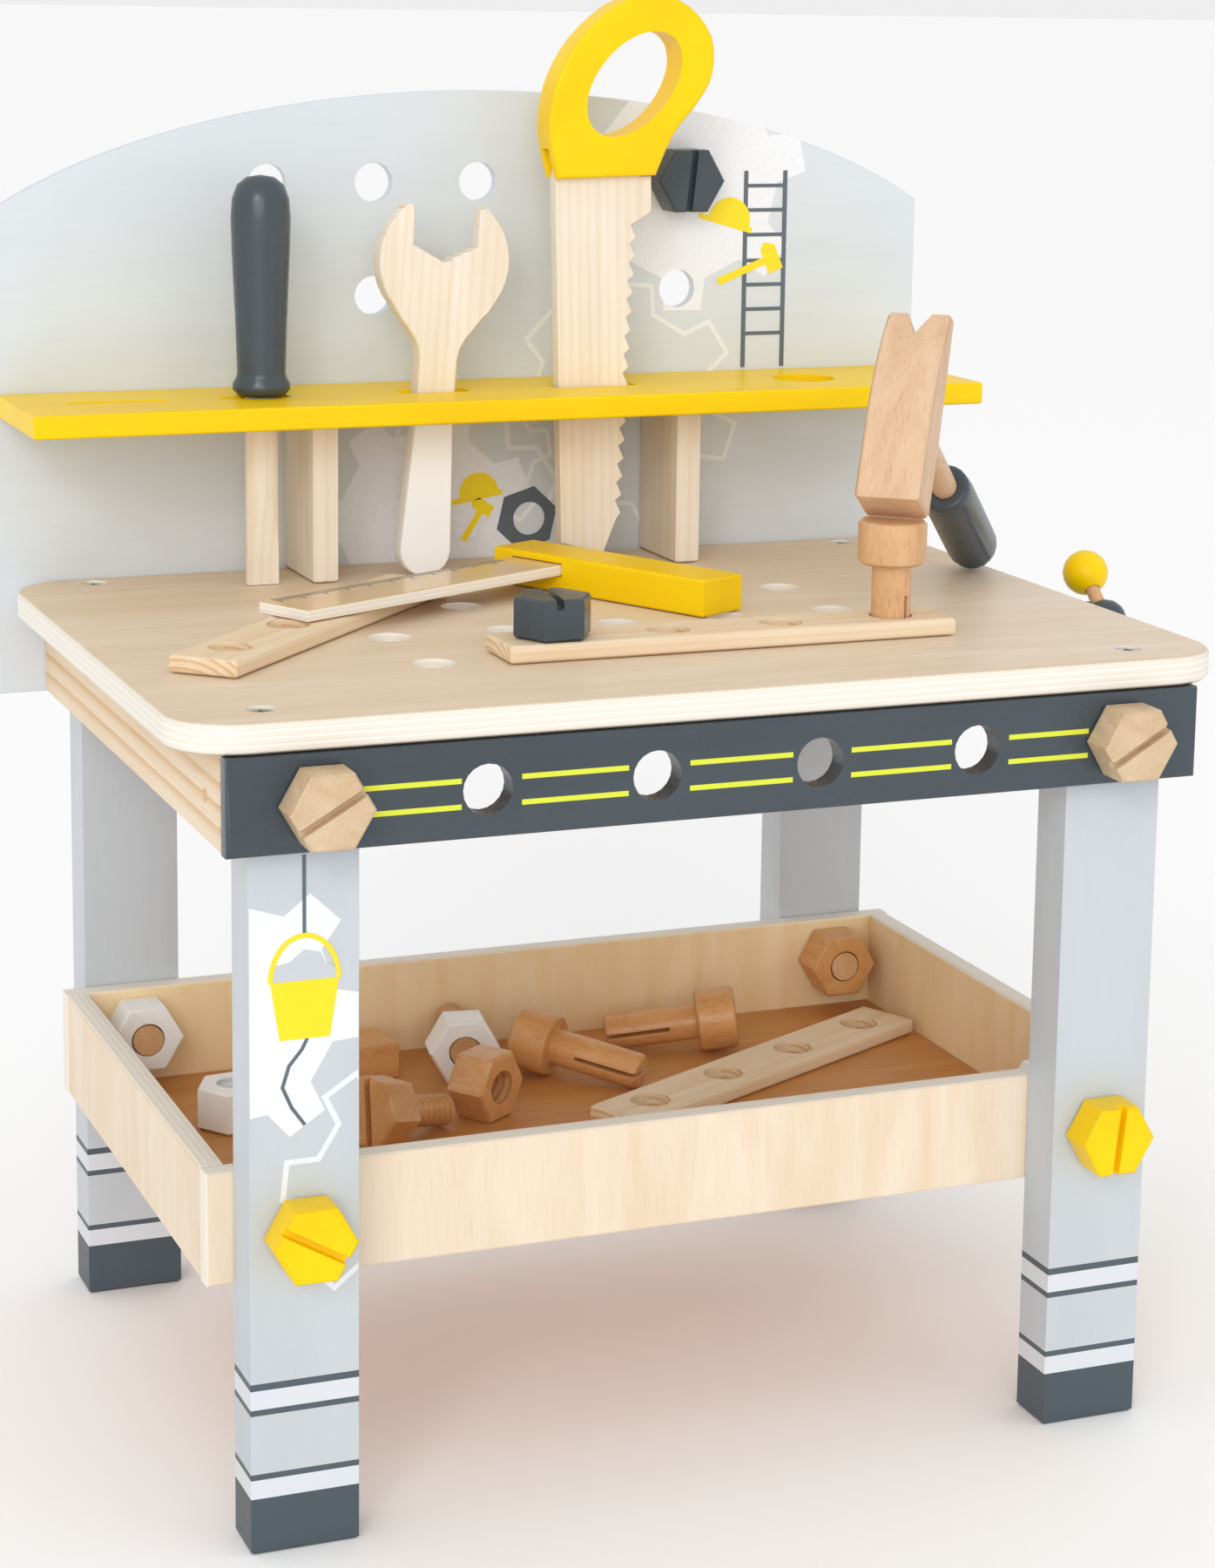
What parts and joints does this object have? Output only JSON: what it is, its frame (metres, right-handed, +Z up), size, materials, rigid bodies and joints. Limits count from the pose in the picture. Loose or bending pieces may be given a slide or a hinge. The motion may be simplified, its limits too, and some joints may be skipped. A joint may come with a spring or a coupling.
{
  "type": "toy tool bench",
  "caption": "Wooden toy workbench with a peg-hole worktop, a tool shelf on an arched panel, a parts tray, a screw vice and loose hand tools, strips, pegs, bolts and nuts.",
  "frame": {"origin": "on the floor, under the middle of the whole object's footprint, with the vice and its handle counted", "axes": "+Z up, +X to the right along the worktop towards the vice, -Y towards the person at the bench, +Y towards the tool panel"},
  "size_m": [0.4906, 0.3422, 0.5738],
  "materials": {
    "birch_ply": "sanded birch plywood, clear satin varnish",
    "pine": "sanded pine, clear satin varnish",
    "beech": "turned and milled beech, clear satin varnish",
    "varnished_ply": "thin plywood, glossy varnish with printed scale marks",
    "light_grey_paint": "light grey satin paint with printed pictures",
    "dark_grey_paint": "dark grey semi-gloss paint",
    "yellow_paint": "yellow semi-gloss paint",
    "white_paint": "white semi-gloss paint"
  },
  "bodies": {
    "bench": {"worktop": "birch_ply", "front_apron": "dark_grey_paint", "left_apron": "pine", "right_apron": "pine", "front_leg_left": "light_grey_paint", "rear_leg_left": "light_grey_paint", "front_leg_right": "light_grey_paint", "rear_leg_right": "light_grey_paint", "back_panel": "light_grey_paint", "tool_shelf": "yellow_paint", "shelf_post_left": "pine", "shelf_post_right": "pine", "tray_front_wall": "birch_ply", "tray_rear_wall": "birch_ply", "tray_left_wall": "birch_ply", "tray_right_wall": "birch_ply", "tray_floor": "birch_ply", "apron_left_nut": "beech", "apron_right_nut": "beech", "tray_front_left_nut": "beech", "tray_front_right_nut": "white_paint", "tray_rear_left_nut": "white_paint", "tray_rear_right_nut": "beech", "panel_nut": "beech"},
    "vice_jaw": {"vice_jaw": "dark_grey_paint", "vice_guide": "beech"},
    "vice_spindle": {"vice_spindle": "dark_grey_paint"},
    "vice_bar": {"vice_bar": "beech", "vice_ball_top": "yellow_paint", "vice_ball_bottom": "yellow_paint"},
    "screwdriver": {"screwdriver_handle": "dark_grey_paint", "screwdriver_shaft": "beech"},
    "wrench": {"wrench": "pine"},
    "saw": {"saw_blade": "pine", "saw_handle": "yellow_paint"},
    "work_strip": {"work_strip": "pine"},
    "crossed_strip": {"crossed_strip": "pine"},
    "square": {"square_stock": "yellow_paint", "square_blade": "varnished_ply"},
    "strip_bolt": {"strip_bolt": "dark_grey_paint"},
    "work_peg": {"work_peg": "beech"},
    "hammer": {"hammer_head": "beech", "hammer_handle": "beech", "hammer_grip": "dark_grey_paint"},
    "tray_strip": {"tray_strip": "pine"},
    "tray_peg_left": {"tray_peg_left": "beech"},
    "tray_peg_right": {"tray_peg_right": "beech"},
    "loose_bolt": {"loose_bolt": "beech"},
    "loose_nut": {"loose_nut": "beech"},
    "white_nut": {"white_nut": "white_paint"},
    "stud": {"stud_nut": "white_paint", "threaded_stud": "beech"},
    "block": {"block": "beech"},
    "apron_left_bolt": {"apron_left_bolt": "beech"},
    "apron_right_bolt": {"apron_right_bolt": "beech"},
    "tray_front_left_bolt": {"tray_front_left_bolt": "yellow_paint"},
    "tray_front_right_bolt": {"tray_front_right_bolt": "yellow_paint"},
    "tray_rear_left_bolt": {"tray_rear_left_bolt": "beech"},
    "tray_rear_right_bolt": {"tray_rear_right_bolt": "beech"},
    "panel_bolt": {"panel_bolt": "dark_grey_paint"}
  },
  "joints": [
    {"name": "vice_jaw_slide", "type": "slide", "parent": "bench", "child": "vice_jaw", "axis": [1, 0, 0], "range_m": [-0.036, 0.02]},
    {"name": "vice_spindle_turn", "type": "hinge", "parent": "vice_jaw", "child": "vice_spindle", "pos_m": [0.2232, 0.0287, 0.297], "axis": [1, 0, 0], "range_deg": [-3240, 1800]},
    {"name": "vice_bar_slide", "type": "slide", "parent": "vice_spindle", "child": "vice_bar", "axis": [0, 0.7314, 0.682], "range_m": [-0.006, 0.006]},
    {"name": "apron_left_bolt_turn", "type": "hinge", "parent": "bench", "child": "apron_left_bolt", "pos_m": [-0.1906, -0.13675, 0.2895], "axis": [0, 1, 0], "continuous": true},
    {"name": "apron_right_bolt_turn", "type": "hinge", "parent": "bench", "child": "apron_right_bolt", "pos_m": [0.137, -0.13675, 0.2895], "axis": [0, 1, 0], "continuous": true},
    {"name": "tray_front_left_bolt_turn", "type": "hinge", "parent": "bench", "child": "tray_front_left_bolt", "pos_m": [-0.1939, -0.12645, 0.1245], "axis": [0, 1, 0], "continuous": true},
    {"name": "tray_front_right_bolt_turn", "type": "hinge", "parent": "bench", "child": "tray_front_right_bolt", "pos_m": [0.1403, -0.12645, 0.1245], "axis": [0, 1, 0], "continuous": true},
    {"name": "tray_rear_left_bolt_turn", "type": "hinge", "parent": "bench", "child": "tray_rear_left_bolt", "pos_m": [-0.1939, 0.12815, 0.1245], "axis": [0, 1, 0], "continuous": true},
    {"name": "tray_rear_right_bolt_turn", "type": "hinge", "parent": "bench", "child": "tray_rear_right_bolt", "pos_m": [0.1403, 0.12815, 0.1245], "axis": [0, 1, 0], "continuous": true},
    {"name": "panel_bolt_turn", "type": "hinge", "parent": "bench", "child": "panel_bolt", "pos_m": [0.0706, 0.15015, 0.4905], "axis": [0, 1, 0], "continuous": true},
    {"name": "screwdriver_lift", "type": "slide", "parent": "bench", "child": "screwdriver", "axis": [0, 0, 1], "range_m": [0, 0.085]},
    {"name": "wrench_lift", "type": "slide", "parent": "bench", "child": "wrench", "axis": [0.0663, 0, 0.9978], "range_m": [0, 0.085]},
    {"name": "saw_lift", "type": "slide", "parent": "bench", "child": "saw", "axis": [-0.0279, 0, 0.9996], "range_m": [0, 0.09]},
    {"name": "work_strip_lift", "type": "slide", "parent": "bench", "child": "work_strip", "axis": [0, 0, 1], "range_m": [0, 0.06]},
    {"name": "strip_bolt_lift", "type": "slide", "parent": "work_strip", "child": "strip_bolt", "axis": [0, 0, 1], "range_m": [0, 0.05]},
    {"name": "work_peg_drive", "type": "slide", "parent": "work_strip", "child": "work_peg", "axis": [0, 0, 1], "range_m": [-0.0212, 0]},
    {"name": "hammer_lift", "type": "slide", "parent": "work_strip", "child": "hammer", "axis": [0, 0, 1], "range_m": [0, 0.1]},
    {"name": "crossed_strip_lift", "type": "slide", "parent": "bench", "child": "crossed_strip", "axis": [0, 0, 1], "range_m": [0, 0.03]},
    {"name": "square_lift", "type": "slide", "parent": "crossed_strip", "child": "square", "axis": [0, 0, 1], "range_m": [0, 0.025]},
    {"name": "tray_strip_lift", "type": "slide", "parent": "bench", "child": "tray_strip", "axis": [0, 0, 1], "range_m": [0, 0.12]},
    {"name": "tray_peg_left_lift", "type": "slide", "parent": "bench", "child": "tray_peg_left", "axis": [0, 0, 1], "range_m": [0, 0.12]},
    {"name": "tray_peg_right_lift", "type": "slide", "parent": "bench", "child": "tray_peg_right", "axis": [0, 0, 1], "range_m": [0, 0.12]},
    {"name": "loose_bolt_lift", "type": "slide", "parent": "bench", "child": "loose_bolt", "axis": [0, 0, 1], "range_m": [0, 0.12]},
    {"name": "loose_nut_lift", "type": "slide", "parent": "bench", "child": "loose_nut", "axis": [0, 0, 1], "range_m": [0, 0.12]},
    {"name": "white_nut_lift", "type": "slide", "parent": "bench", "child": "white_nut", "axis": [0, 0, 1], "range_m": [0, 0.12]},
    {"name": "stud_lift", "type": "slide", "parent": "bench", "child": "stud", "axis": [0, 0, 1], "range_m": [0, 0.12]},
    {"name": "block_lift", "type": "slide", "parent": "bench", "child": "block", "axis": [0, 0, 1], "range_m": [0, 0.12]}
  ],
  "couplings": [
    {"joint": "vice_jaw_slide", "follows": "vice_spindle_turn", "m_per_rad": 0.0006366}
  ]
}
